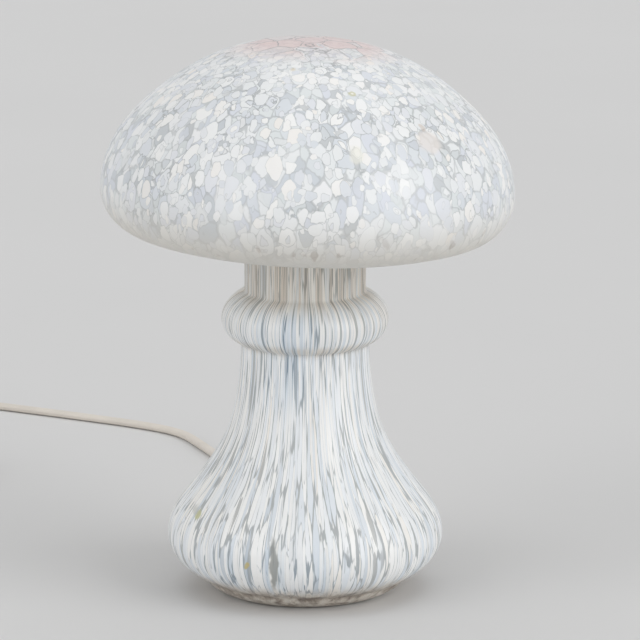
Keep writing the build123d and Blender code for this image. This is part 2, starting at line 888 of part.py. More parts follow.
def make_switch_cover():
    cover = switch_block(switch_split_height, switch_height)
    cover = fillet(cover.faces().sort_by(Axis.Z)[-1].edges(), switch_edge_round)
    cover -= switch_block(switch_split_height - 1, switch_height - switch_wall, switch_wall)
    ceiling = switch_height - switch_wall
    for stop in cord_stops(switch_split_height, ceiling):
        cover += stop
    for x, y in boss_places():
        height = ceiling - switch_split_height
        boss = Pos(x, y, switch_split_height + height / 2) * Cylinder(boss_radius, height)
        cover += boss
    reach = rocker_width / 2 + rocker_gap
    for side in (-1, 1):
        middle = side * (reach + cheek_thickness / 2)
        cheek = Box(cheek_thickness, rocker_length, cheek_depth)
        cover += Pos(middle, 0, ceiling - cheek_depth / 2) * cheek
    cover -= cord_notches() - cord_stops_middle()
    half = math.radians(rocker_throw / 2)
    swing = rocker_length / 2 * math.cos(half) + rocker_rise * math.sin(half) + rocker_gap
    cover -= Pos(0, 0, switch_height) * Box(2 * reach, 2 * swing, 3 * switch_wall)
    pin_hole = Cylinder(
        rocker_pin_radius + rocker_pin_clearance,
        2 * (reach + cheek_thickness + 1),
        rotation=(0, 90, 0),
    )
    cover -= Pos(0, 0, rocker_pivot_height) * pin_hole
    depth = switch_screw_length - (switch_split_height - switch_screw_head_height)
    for x, y in boss_places():
        hole = Cylinder(switch_screw_radius + thread_clearance, 2 * depth)
        cover -= Pos(x, y, switch_split_height) * hole
    return in_switch(cover)


def make_switch_screws():
    screws = []
    for x, y in boss_places():
        head = Cylinder(switch_screw_head_radius, switch_screw_head_height)
        shank = Cylinder(switch_screw_radius, switch_screw_length)
        low = switch_screw_clearance
        screw = Pos(x, y, low + switch_screw_head_height / 2) * head
        screw += Pos(x, y, low + switch_screw_length / 2) * shank
        slot = Box(2 * switch_screw_head_radius + 1, 0.7, 1.2)
        screws.append(in_switch(screw - Pos(x, y, low) * slot))
    return screws


def tilted(shape):
    """Tips the rocker to its rest position, with its far end down."""
    pivot = Axis((0, 0, rocker_pivot_height), (1, 0, 0))
    return in_switch(shape.rotate(pivot, -rocker_throw / 2))


def make_switch_rocker():
    height = rocker_rise + rocker_drop
    block = Pos(0, 0, rocker_pivot_height + (rocker_rise - rocker_drop) / 2) * Box(
        rocker_width, rocker_length, height
    )
    block = fillet(block.edges().filter_by(Axis.Z), rocker_pin_radius / 2)
    dish = Cylinder(rocker_dish_radius, rocker_width + 2, rotation=(0, 90, 0))
    sag = rocker_length**2 / (8 * rocker_dish_radius)
    top = rocker_pivot_height + rocker_rise
    block -= Pos(0, 0, top - sag + rocker_dish_radius) * dish
    pin = Cylinder(rocker_pin_radius, rocker_width + 2 * rocker_pin_length, rotation=(0, 90, 0))
    return tilted(block + Pos(0, 0, rocker_pivot_height) * pin)


def make_rocker_bridge():
    middle = rocker_pivot_height - rocker_drop - bridge_thickness / 2
    return tilted(Pos(0, 0, middle) * Box(bridge_width, bridge_length, bridge_thickness))


def make_switch_contacts():
    """Two brass terminals on the floor, with a blade that rises towards the rocker's ends."""
    width, length, height = terminal_block
    contacts = []
    for side in (-1, 1):
        middle = side * terminal_block_spacing / 2
        block = Pos(0, middle, switch_wall + height / 2) * Box(width, length, height)
        inner = middle - side * (length - blade_thickness) / 2
        blade = Box(width, blade_thickness, blade_height)
        block += Pos(0, inner, switch_wall + height + blade_height / 2) * blade
        contacts.append(in_switch(block))
    return contacts


# ---------------------------------------------------------------- plug
plug_back_y = plug_entry_y - plug_relief_length
plug_front_y = plug_back_y - plug_length


def make_plug_body():
    half, back = plug_width / 2, plug_back_width / 2
    right = Spline((half, 0), (back, plug_length), tangents=[(0, 1), (-0.3, 1)])
    left = Spline((-back, plug_length), (-half, 0), tangents=[(-0.3, -1), (0, -1)])
    plan = Wire(
        [Line((-half, 0), (half, 0)), right, Line((back, plug_length), (-back, plug_length)), left]
    )
    body = extrude(Face(plan), plug_thickness)
    body = fillet(body.edges().filter_by(GeomType.LINE), plug_edge_round)
    relief = turned_outline(
        (cord_radius + cord_notch_clearance, 0.0),
        (plug_relief_root_radius, 0.0),
        (plug_relief_tip_radius, plug_relief_length),
        (cord_radius + cord_notch_clearance, plug_relief_length),
    )
    relief = Pos(0, plug_length, plug_axis_height) * Rot(-90, 0, 0) * relief
    return Pos(plug_x, plug_front_y, 0) * (body + relief)


def pin_shapes(outline):
    """Two copies of a turned outline, pointing to the front from the plug's face."""
    shape = Rot(90, 0, 0) * turned_outline(*outline)
    places = [side * pin_spacing / 2 for side in (-1, 1)]
    return [Pos(plug_x + x, plug_front_y, plug_axis_height) * shape for x in places]


def make_plug_pins():
    return pin_shapes(
        [
            (0.0, 0.0),
            (pin_core_radius, 0.0),
            (pin_core_radius, pin_sleeve_length),
            (pin_radius, pin_sleeve_length),
            (pin_radius, pin_length - pin_tip_round),
            (pin_radius - pin_tip_round, pin_length),
            (0.0, pin_length),
        ]
    )


def make_plug_pin_sleeves():
    inner = pin_core_radius + pin_sleeve_clearance
    return pin_shapes(
        [(inner, 0.0), (pin_radius, 0.0), (pin_radius, pin_sleeve_length), (inner, pin_sleeve_length)]
    )


# ---------------------------------------------------------------- write the nodes
def save(name, shape):
    """Writes a node as one or more separate solids."""
    shapes = shape if isinstance(shape, list) else [shape]
    solids = [solid for s in shapes for solid in s.solids()]
    export_step(solids[0] if len(solids) == 1 else Compound(children=solids), f"parts/{name}.step")


os.makedirs("parts", exist_ok=True)
save("glass_base", make_glass_base())
save("glass_cap", make_glass_cap())
save("neck_gasket", make_neck_gasket())
save("carrier_plate", make_carrier_plate())
save("plate_skirt", make_plate_skirt())
save("cap_collar", make_cap_collar())
save("cap_seat_ring", make_cap_seat_ring())
save("clamp_bar", make_clamp_bar())
save("clamp_pads", make_clamp_pads())
save("threaded_tube", make_threaded_tube())
save("tube_nuts", make_tube_nuts())
save("tube_washers", make_tube_washers())
save("cord_bush", make_cord_bush())
save("holder_cap", make_holder_cap())
save("holder_insert", make_holder_insert())
save("terminal_screws", make_terminal_screws())
save("thread_sleeve", make_thread_sleeve())
save("centre_contact", make_centre_contact())
save("holder_shell", make_holder_shell())
save("bulb_glass", make_bulb_glass())
save("bulb_screw_cap", make_bulb_screw_cap())
save("bulb_insulator", make_bulb_insulator())
save("bulb_tip", make_bulb_tip())
save("bulb_stem", make_bulb_stem())
save("bulb_filament", make_bulb_filament())
save("lead_wires", make_lead_wires())
save("inner_cord", cord_tube("inner_cord", inner_route))
save("cord_grommet", make_cord_grommet())
save("cord_to_switch", cord_tube("cord_to_switch", route_to_switch))
save("cord_from_switch", cord_tube("cord_from_switch", route_from_switch))
save("cord_coil", make_cord_coil())
save("cord_tail", cord_tube("cord_tail", route_to_plug))
save("switch_base", make_switch_base())
save("switch_cover", make_switch_cover())
save("switch_screws", make_switch_screws())
save("switch_rocker", make_switch_rocker())
save("rocker_bridge", make_rocker_bridge())
save("switch_contacts", make_switch_contacts())
save("plug_body", make_plug_body())
save("plug_pins", make_plug_pins())
save("plug_pin_sleeves", make_plug_pin_sleeves())
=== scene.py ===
import math

import bmesh
import bpy
from mathutils import Matrix, Vector, noise


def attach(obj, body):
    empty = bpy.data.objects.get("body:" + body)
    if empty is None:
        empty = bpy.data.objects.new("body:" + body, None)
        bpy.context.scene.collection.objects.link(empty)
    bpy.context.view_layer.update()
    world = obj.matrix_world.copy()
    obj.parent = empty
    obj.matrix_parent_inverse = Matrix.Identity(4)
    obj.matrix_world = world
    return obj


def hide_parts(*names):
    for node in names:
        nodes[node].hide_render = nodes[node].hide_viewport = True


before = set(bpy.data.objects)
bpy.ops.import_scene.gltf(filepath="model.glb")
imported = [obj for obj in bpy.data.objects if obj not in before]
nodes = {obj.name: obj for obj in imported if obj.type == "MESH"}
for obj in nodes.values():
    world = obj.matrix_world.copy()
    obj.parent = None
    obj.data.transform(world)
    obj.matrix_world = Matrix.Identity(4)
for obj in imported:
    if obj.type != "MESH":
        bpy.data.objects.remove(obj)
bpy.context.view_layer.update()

MM = 0.001
AXIS = 1e-6  # a ring smaller than this is one point on the axis
scene = bpy.context.scene


# ---------------------------------------------------------------- node trees
class Shader:
    """A material and short names for the nodes that it is built from."""

    def __init__(self, name):
        self.material = bpy.data.materials.new(name)
        self.material.use_nodes = True
        self.tree = self.material.node_tree
        self.surface = self.tree.nodes["Principled BSDF"]

    def add(self, kind, inputs=(), **settings):
        """A node with its settings and inputs; a socket as input is linked, a value is set."""
        node = self.tree.nodes.new("ShaderNode" + kind)
        for key, value in settings.items():
            setattr(node, key, value)
        for key, value in dict(inputs).items():
            self.put(node.inputs[key], value)
        return node

    def put(self, socket, value):
        if isinstance(value, bpy.types.NodeSocket):
            self.tree.links.new(value, socket)
        elif value is not None:
            socket.default_value = value

    def look(self, **values):
        """Sets or links sockets of the surface shader; underscores stand for spaces."""
        for key, value in values.items():
            self.put(self.surface.inputs[key.replace("_", " ")], value)
        return self

    def kept(self, name, output="Fac"):
        """The value or vector that store() kept under that name."""
        return self.add("Attribute", attribute_name=name).outputs[output]

    def place(self):
        return self.add("TexCoord").outputs["Object"]

    def calc(self, operation, a, b=None):
        return self.add("Math", {0: a, 1: b}, operation=operation).outputs[0]

    def vector(self, operation, a, b):
        return self.add("VectorMath", {0: a, 1: b}, operation=operation).outputs[0]

    def stretch(self, vector, scale):
        return self.add("Mapping", {"Vector": vector, "Scale": scale}).outputs[0]

    def shift(self, vector, offset):
        return self.add("Mapping", {"Vector": vector, "Location": offset}).outputs[0]

    def cloud(self, vector, scale, detail=2.0, rough=0.5):
        inputs = {"Vector": vector, "Scale": scale, "Detail": detail, "Roughness": rough}
        return self.add("TexNoise", inputs).outputs["Fac"]

    def warp(self, vector, scale, amount, detail=1.0):
        """The vector moved about by a noise of that scale."""
        node = self.add("TexNoise", {"Vector": vector, "Scale": scale, "Detail": detail})
        centred = self.vector("SUBTRACT", node.outputs["Color"], (0.5, 0.5, 0.5))
        return self.vector("ADD", vector, self.vector("MULTIPLY", centred, (2 * amount,) * 3))

    def cells(self, vector, scale, feature="F1"):
        return self.add("TexVoronoi", {"Vector": vector, "Scale": scale}, feature=feature)

    def between(self, value, low, high, to_low=0.0, to_high=1.0, smooth=True):
        inputs = {"Value": value, "From Min": low, "From Max": high, "To Min": to_low, "To Max": to_high}
        kind = "SMOOTHSTEP" if smooth else "LINEAR"
        return self.add("MapRange", inputs, interpolation_type=kind).outputs["Result"]

    def spread(self, cloud, low, high):
        """A noise, whose values are mostly from 0.3 to 0.7, taken to low and high."""
        return self.between(cloud, 0.3, 0.7, low, high, False)

    def ramp(self, value, stops):
        node = self.add("ValToRGB", {"Fac": value})
        elements = node.color_ramp.elements
        for _ in stops[2:]:
            elements.new(0.5)
        for element, (position, colour) in zip(elements, stops):
            element.position = position
            element.color = (*colour, 1.0)
        return node.outputs["Color"]

    def mix(self, factor, a, b, kind="MIX"):
        node = self.add("Mix", data_type="RGBA", blend_type=kind)
        self.put(node.inputs["Factor"], factor)
        for socket, value in ((node.inputs["A"], a), (node.inputs["B"], b)):
            self.put(socket, (*value, 1.0) if isinstance(value, tuple) else value)
        return node.outputs["Result"]

    def tint(self, factor, colour, other):
        """The colour multiplied by another one, as far as the factor says."""
        return self.mix(factor, colour, self.mix(1.0, colour, other, "MULTIPLY"))

    def uneven(self, colour, place, scale, detail, low, high):
        """The colour, lighter and darker from place to place."""
        tone = self.spread(self.cloud(place, scale, detail), low, high)
        grey = self.add("CombineColor", {0: tone, 1: tone, 2: tone}).outputs[0]
        return self.mix(1.0, colour, grey, "MULTIPLY")

    def bump(self, height, distance, strength):
        inputs = {"Height": height, "Distance": distance, "Strength": strength}
        return self.add("Bump", inputs).outputs["Normal"]


# ---------------------------------------------------------------- outlines and turned meshes
SPACING = 1.6  # between the rings that show, in mm
COARSE = 2.4  # between the rings inside
HANDLE = 0.36  # how far each heading carries, as a share of the way to the next station


def step(point, heading, length):
    turn = math.radians(heading)
    return (point[0] + length * math.cos(turn), point[1] + length * math.sin(turn))


def inset(station, depth):
    return (*step(station, station[2] + 90, depth), station[2])


def flowing(stations, spacing=SPACING):
    """Points on the smooth curves through (radius, height, heading) stations, the last left out."""
    points = []
    for start, end in zip(stations, stations[1:]):
        reach = math.dist(start[:2], end[:2])
        a, b = step(start, start[2], HANDLE * reach), step(end, end[2], -HANDLE * reach)
        count = max(6, round(reach / spacing))
        for k in range(count):
            t = k / count
            w = ((1 - t) ** 3, 3 * t * (1 - t) ** 2, 3 * t * t * (1 - t), t**3)
            points.append(tuple(sum(c * p[i] for c, p in zip(w, (start, a, b, end))) for i in (0, 1)))
    return points


def straight(start, end, spacing=SPACING):
    """Points on a straight stretch, the last left out."""
    count = max(1, round(math.dist(start, end) / spacing))
    return [tuple(s + (e - s) * k / count for s, e in zip(start, end)) for k in range(count)]


def softened(points, corner, size):
    """The points with the one at corner replaced by two beside it, so that a crease is round."""
    nearest = min(range(1, len(points) - 1), key=lambda i: math.dist(points[i], corner))
    here, pair = points[nearest], []
    for other in (points[nearest - 1], points[nearest + 1]):
        share = min(0.45, size / math.dist(here, other))
        pair.append(tuple(h + (o - h) * share for h, o in zip(here, other)))
    return points[:nearest] + pair + points[nearest + 1 :]


def ease(value, low, high):
    t = min(1.0, max(0.0, (value - low) / (high - low)))
    return t * t * (3 - 2 * t)


def link(name, data):
    """An object with that data, in the scene."""
    made = bpy.data.objects.new(name, data)
    scene.collection.objects.link(made)
    return made


def as_piece(name, mesh):
    """The piece that a bmesh turns into."""
    bmesh.ops.recalc_face_normals(mesh, faces=mesh.faces)
    data = bpy.data.meshes.new(name)
    mesh.to_mesh(data)
    mesh.free()
    return link(name, data)


def lathe(name, rings, segments, closed):
    """A mesh turned about Z from (radius, height) rings; a ring of no radius is one point."""
    mesh = bmesh.new()
    angles = [2 * math.pi * k / segments for k in range(segments)]
    loops = []
    for radius, height in rings:
        if radius < AXIS:
            loops.append([mesh.verts.new((0, 0, height))])
        else:
            loops.append([mesh.verts.new((radius * math.cos(a), radius * math.sin(a), height)) for a in angles])
    pairs = list(zip(loops, loops[1:])) + ([(loops[-1], loops[0])] if closed else [])
    for low, high in pairs:
        if len(low) == len(high) == 1:
            continue
        for k in range(segments):
            n = (k + 1) % segments
            corners = [low[k % len(low)], low[n % len(low)], high[n % len(high)], high[k % len(high)]]
            mesh.faces.new(list(dict.fromkeys(corners))).smooth = True
    return as_piece(name, mesh)


def gather(points, chip_width, chip_height):
    """For each ring, its radius and height on the small gather of glass whose chips were all even,
    counted in chips: the chips grow to chip_width round the axis and chip_height along the form.
    Both are functions of the run from the first ring, the radius and the height, all in mm."""
    mapped, run, height = [], 0.0, 0.0
    last = points[0]
    for point in points:
        reach = math.dist(last, point)
        run += reach
        around = point[0] / chip_width(run, *point)
        if mapped:
            along = reach / chip_height(run, *point)
            across = around - mapped[-1][0]
            height += math.sqrt(max(along**2 - across**2, (0.25 * along) ** 2))
        mapped.append((around, height))
        last = point
    return mapped


def nearest_of(points, places, point):
    """The place of whichever point is nearest, for a ring inside the wall."""
    near = min(range(len(points)), key=lambda i: math.dist(points[i], point))
    return places[near]


def store(piece, name, values):
    """Keeps a value or vector for each vertex of a piece."""
    is_vector = isinstance(values[0], tuple)
    layer = piece.data.attributes.new(name, "FLOAT_VECTOR" if is_vector else "FLOAT", "POINT")
    flat = [x for v in values for x in v] if is_vector else values
    layer.data.foreach_set("vector" if is_vector else "value", flat)


def sway(vertex, amount, scale, rise=1.0):
    """Moves a point in or out a little, as the wall of blown glass wanders."""
    x, y, z = vertex.co
    grow = 1 + amount * noise.noise(Vector((x, y, rise * z)) * scale)
    vertex.co.x *= grow
    vertex.co.y *= grow


# ---------------------------------------------------------------- glass base
SEGMENTS = 256
WALL = 4.0
FOOT_BORE = 38.0
FOOT_FLAT = (41.0, 45.5)  # it stands on the table between these radii
FOOT_TOP = (57.0, 7.9)  # crease over the foot ring
RING_LOW = (35.6, 140.8)  # crease under the round ring
RING_HIGH = (33.65, 170.0)  # crease over it
RING_MIDDLE = 154.3
NECK, NECK_BORE, NECK_TOP = 33.65, 29.65, 190.7
RIM_ROUND = 0.8
BELLY = [
    (*FOOT_TOP, 25.0),
    (76.8, 31.7, 90.0),
    (59.4, 64.2, 126.0),
    (41.0, 98.5, 105.0),
    (*RING_LOW, 92.0),
]
RING = [(*RING_LOW, 15.0), (46.5, RING_MIDDLE, 90.0), (*RING_HIGH, 160.0)]
RING_INSIDE = [inset(BELLY[-1], WALL), (42.5, RING_MIDDLE, 90.0), (NECK_BORE, RING_HIGH[1], 125.0)]


def base_rings():
    """The base's rings: from the ground foot up the outside, then over the neck and down the inside."""
    foot = (FOOT_FLAT[1], 0)
    shoulder = NECK_TOP - RIM_ROUND
    outside = straight((FOOT_FLAT[0], 0), foot) + flowing([(*foot, 18.0), (*FOOT_TOP, 62.0)])
    outside += flowing(BELLY) + flowing(RING) + straight(RING_HIGH, (NECK, shoulder))
    for corner, size in ((foot, 0.4), (FOOT_TOP, 0.8), (RING_LOW, 0.8), (RING_HIGH, 0.9)):
        outside = softened(outside, corner, size)
    top = ((NECK - RIM_ROUND, NECK_TOP), (NECK_BORE + RIM_ROUND, NECK_TOP))
    rim = flowing([(NECK, shoulder, 90.0), (*top[0], 180.0)], 0.2) + straight(*top)
    rim += flowing([(*top[1], 180.0), (NECK_BORE, shoulder, 270.0)], 0.2)
    bore_end = (NECK_BORE, RING_HIGH[1])
    belly = flowing([inset(s, WALL) for s in BELLY], COARSE) + flowing(RING_INSIDE, COARSE)
    inside = straight((NECK_BORE, shoulder), bore_end, COARSE) + [bore_end] + belly[:0:-1]
    start = inset(BELLY[0], WALL)
    inside += [start[:2]] + straight((FOOT_BORE, start[1]), (FOOT_BORE, 0.4), 2.0)
    return outside, rim + inside + [(FOOT_BORE, 0.4), (FOOT_BORE + 0.4, 0.0)]


def base_tints(z, angle):
    """How warm and how cool the glass is at that height in mm and angle; the warm tint over the ring's top and the
    neck, under the cap, is partly beige glass and partly painted shade of the cap.
    """
    side = math.sin(angle + 0.25) ** 2  # 1 near the front and back, 0 near the sides
    # neck: a darker warm tint on the ring's top and the neck, partly beige glass and partly painted shade of the
    # cap
    neck, ring_crease, foot = ease(z, 162, 172), 1 - ease(abs(z - 143.0), 1.0, 5.0), 1 - ease(z, 10, 18)
    warm = max(0.95 * neck, 0.75 * ring_crease, 0.5 * foot, 0.35 * ease(z, 146, 152) * (1 - side))
    band = max(ease(z, 100, 125) * (1 - ease(z, 160, 168)), 1 - ease(z, 25, 50))
    return warm, 0.15 + 0.85 * band * side**4


outside, rest = base_rings()
streaks = gather(
    outside,
    lambda run, r, z: max(r, 30) / 25,
    lambda run, r, z: 6.0 + 26.0 * ease(z, 4, 20) + 26.0 * ease(z, 40, 130),
)
rings = outside + rest
places = streaks + [nearest_of(outside, streaks, p) for p in rest]
base_glass = lathe("base_glass", [(r * MM, z * MM) for r, z in rings], SEGMENTS, closed=True)
kept = {name: [] for name in ("chips", "warm", "cool", "foot", "crease")}
for (radius, z), (around, along) in zip(rings, places):
    for k in range(SEGMENTS):
        a = 2 * math.pi * k / SEGMENTS
        warm, cool = base_tints(z, a)
        kept["chips"].append((around * math.cos(a), around * math.sin(a), along))
        kept["warm"].append(warm)
        kept["cool"].append(cool)
        kept["foot"].append(1.0 - ease(z, 8.0, 19.0))
        kept["crease"].append(1.0 - ease(abs(z - 8.5), 0.5, 5.0))
for name, values in kept.items():
    store(base_glass, name, values)
for vertex in base_glass.data.vertices:
    r, z = math.hypot(vertex.co.x, vertex.co.y), vertex.co.z
    free = ease(z, 0.010, 0.040) * (1 - ease(z, 0.120, 0.138)) * ease(r, 0.030, 0.040)
    sway(vertex, 0.0045 * free, 22, 0.6)


# ---------------------------------------------------------------- glass cap
CAP_WALL = 3.8
SEAT = 195.4  # height of the ground lip
LIP, CAP_OPENING = 34.5, 26.0  # radii of the lip outside and inside
LIP_TOP = 197.4
UNDERSIDE = 70  # length of the outline that faces down, in mm
CAP = [
    (0.0, 310.4, 0.0),
    (75.4, 286.8, -36.4),
    (114.6, 227.9, -87.0),
    (98.6, 203.9, -162.5),
    (LIP, LIP_TOP, -178.0),
]
up_to_seat = Matrix.Translation((0, 0, SEAT * MM))
LEAN = up_to_seat @ Matrix.Rotation(math.radians(2.0), 4, "Y") @ up_to_seat.inverted()

outer = flowing(CAP)
inner = flowing([inset(s, -CAP_WALL) for s in CAP], 2.6)
lip = [(LIP, LIP_TOP), (LIP, LIP_TOP - 1.0), (LIP, SEAT + 0.3), (LIP - 0.3, SEAT)]
lip += [(CAP_OPENING + 0.3, SEAT), (CAP_OPENING, SEAT + 0.3), (CAP_OPENING, 198.0)]
lip += [(CAP_OPENING, 200.4), (CAP_OPENING + 0.6, 201.2)]
cap_rings = outer + lip + inner[::-1]
cap_chips = gather(
    outer,
    lambda run, r, z: 6.0 + 2.4 * ease(run, 30, 130),
    lambda run, r, z: 7.0 + 5.0 * ease(run, 40, 130),
)
cap_glass = lathe("cap_glass", [(r * MM, z * MM) for r, z in cap_rings], SEGMENTS, closed=False)
kept = {name: [] for name in ("chips", "warm", "blush")}
under = len(outer) - round(UNDERSIDE / SPACING)
for index, (radius, z) in enumerate(cap_rings):
    if index < len(outer):
        (around, along), warm, shows = cap_chips[index], ease(index, under - 20, under + 2), 1.0
    else:
        (around, along), warm, shows = nearest_of(outer, cap_chips, (radius, z)), 1.0 if z < 202 else 0.3, 0.0
    for k in range(1 if radius < AXIS else SEGMENTS):
        a = 2 * math.pi * k / SEGMENTS
        from_crown = math.hypot(radius * math.cos(a) / 1.2, radius * math.sin(a))
        kept["chips"].append((around * math.cos(a), around * math.sin(a), along))
        kept["warm"].append(warm)
        kept["blush"].append(shows * (1 - ease(from_crown, 20, 46)))
for name, values in kept.items():
    store(cap_glass, name, values)
for vertex in cap_glass.data.vertices:
    r = math.hypot(vertex.co.x, vertex.co.y)
    on_seat = 1 - ease(r, 0.0346, 0.040) if vertex.co.z < 0.2025 else 0
    sway(vertex, 0.003 * ease(r, 0.045, 0.075), 16)
    upright = vertex.co.copy()
    vertex.co = (LEAN @ vertex.co).lerp(upright, on_seat)


# ---------------------------------------------------------------- murrine glass
# Linear colours that the chips of glass have, each with its place in the draw.
COVER = [
    (0.00, (0.56, 0.58, 0.59)),
    (0.10, (0.64, 0.68, 0.72)),
    (0.28, (0.72, 0.75, 0.81)),
    (0.42, (0.73, 0.77, 0.78)),
    (0.60, (0.79, 0.82, 0.83)),
    (1.00, (0.87, 0.88, 0.89)),
]
WHITES = [
    (0.00, (0.71, 0.75, 0.79)),
    (0.18, (0.79, 0.81, 0.85)),
    (0.40, (0.84, 0.86, 0.87)),
    (0.75, (0.91, 0.92, 0.92)),
    (0.93, (0.92, 0.915, 0.90)),
    (1.00, (0.89, 0.865, 0.83)),
]
STRIPS = [
    (0.00, (0.60, 0.65, 0.70)),
    (0.08, (0.74, 0.79, 0.84)),
    (0.25, (0.83, 0.86, 0.89)),
    (0.60, (0.91, 0.92, 0.92)),
    (0.92, (0.92, 0.92, 0.905)),
    (1.00, (0.89, 0.865, 0.82)),
]
PINKS = [(0.0, (0.68, 0.56, 0.56)), (0.5, (0.76, 0.59, 0.57)), (1.0, (0.70, 0.65, 0.65))]
FOOT_STAINS = [
    (0.30, (0.19, 0.145, 0.11)),
    (0.42, (0.41, 0.35, 0.29)),
    (0.52, (0.62, 0.57, 0.50)),
    (0.70, (0.74, 0.70, 0.64)),
]
OUTLINE = (0.38, 0.40, 0.41)
GROUND = (0.56, 0.58, 0.59)
CRACK = (0.30, 0.29, 0.30)
CREAM, FLECK = (0.70, 0.67, 0.61), (0.42, 0.36, 0.30)
# Darker glass in the slits and half-clear glass in the gaps, each where it is grey and where it is cool.
SLITS = ((0.47, 0.485, 0.485), (0.31, 0.37, 0.43))
GAPS = ((0.47, 0.475, 0.465), (0.38, 0.42, 0.45))
BLUE_TINT = (0.76, 0.83, 0.90)
WARM_TINTS = ((0.76, 0.68, 0.59), (0.95, 0.91, 0.85))
# The odd marks of the blown glass that the photograph shows: place and reach in mm, colour, strength.
CAP_MARKS = [
    ((66.6, -71.7, 266.4), (10.0, 10.0, 9.5), (0.83, 0.78, 0.74), 0.7),
    ((62.8, -66.0, 273.2), (2.2, 2.2, 3.4), (0.56, 0.47, 0.39), 0.5),
    ((27.2, -96.1, 263.9), (5.0, 6.0, 9.0), (0.86, 0.85, 0.77), 0.6),
    ((24.8, -64.4, 291.1), (2.6, 2.6, 2.6), (0.58, 0.56, 0.34), 0.7),
    ((24.8, -64.4, 291.1), (1.1, 1.1, 1.1), (0.88, 0.87, 0.80), 0.9),
]
BASE_MARKS = [
    ((-59.5, -37.3, 51.5), (2.6, 3.4, 5.5), (0.55, 0.55, 0.30), 0.8),
    ((-61.0, -33.0, 55.0), (3.0, 5.0, 7.0), (0.48, 0.49, 0.46), 0.6),
    ((-32.1, -69.9, 30.8), (1.3, 3.0, 2.6), (0.56, 0.47, 0.20), 0.85),
    ((-17.2, -74.8, 31.0), (2.9, 30.0, 19.0), (0.29, 0.30, 0.29), 0.85),
]


class Chips:
    """One layer of rounded chips of glass: how deep inside one a point is, and random numbers for each."""

    def __init__(self, shader, place, scale, corner, cut=0.5):
        cells = shader.cells(place, scale)
        edge = shader.cells(place, scale, "DISTANCE_TO_EDGE").outputs["Distance"]
        beyond = shader.calc("MAXIMUM", shader.calc("SUBTRACT", cells.outputs["Distance"], corner), 0.0)
        self.shader = shader
        self.depth = shader.calc("SUBTRACT", edge, shader.calc("MULTIPLY", beyond, cut))
        drawn = shader.add("SeparateColor", {"Color": cells.outputs["Color"]}).outputs
        self.tone, self.chance = drawn["Red"], drawn["Blue"]

    def body(self, low, high, share, strength):
        """Up to strength inside the chips, for that share of them."""
        inside = self.shader.between(self.depth, low, high, 0.0, strength)
        there = self.shader.between(self.chance, share - 0.004, share + 0.004, 1.0, 0.0)
        return self.shader.calc("MULTIPLY", inside, there)

    def over(self, colour, share, tones, strength, line, soft):
        """That share of the chips, with a darker outline and soft edges, laid over a colour."""
        s = self.shader
        lined = s.mix(self.body(-0.035, 0.0, share, line), colour, OUTLINE)
        return s.mix(self.body(-0.01, soft, share, strength), lined, s.ramp(self.tone, tones))


def specked(s, chip, colour, scale, tint):
    """A few rare specks of coloured glass."""
    speck = s.cells(s.shift(chip, (8, 2, 1)), scale)
    seed = s.add("SeparateColor", {"Color": speck.outputs["Color"]}).outputs["Red"]
    here = s.between(speck.outputs["Distance"], 0.05, 0.12, 0.6, 0.0)
    return s.mix(s.calc("MULTIPLY", here, s.between(seed, 0.80, 0.82)), colour, tint)


def marked(s, colour, marks):
    """The odd marks laid over a colour, each an uneven soft spot at its own place."""
    place = s.warp(s.place(), 140, 0.0022, 2.0)
    for spot, reach, tint, strength in marks:
        spot, reach = (tuple(c * MM for c in size) for size in (spot, reach))
        inputs = {"Vector": place, "Location": spot, "Scale": reach}
        within = s.add("Mapping", inputs, vector_type="TEXTURE").outputs[0]
        away = s.add("VectorMath", {0: within}, operation="LENGTH").outputs["Value"]
        colour = s.mix(s.between(away, 0.55, 1.0, strength, 0.0), colour, tint)
    return colour


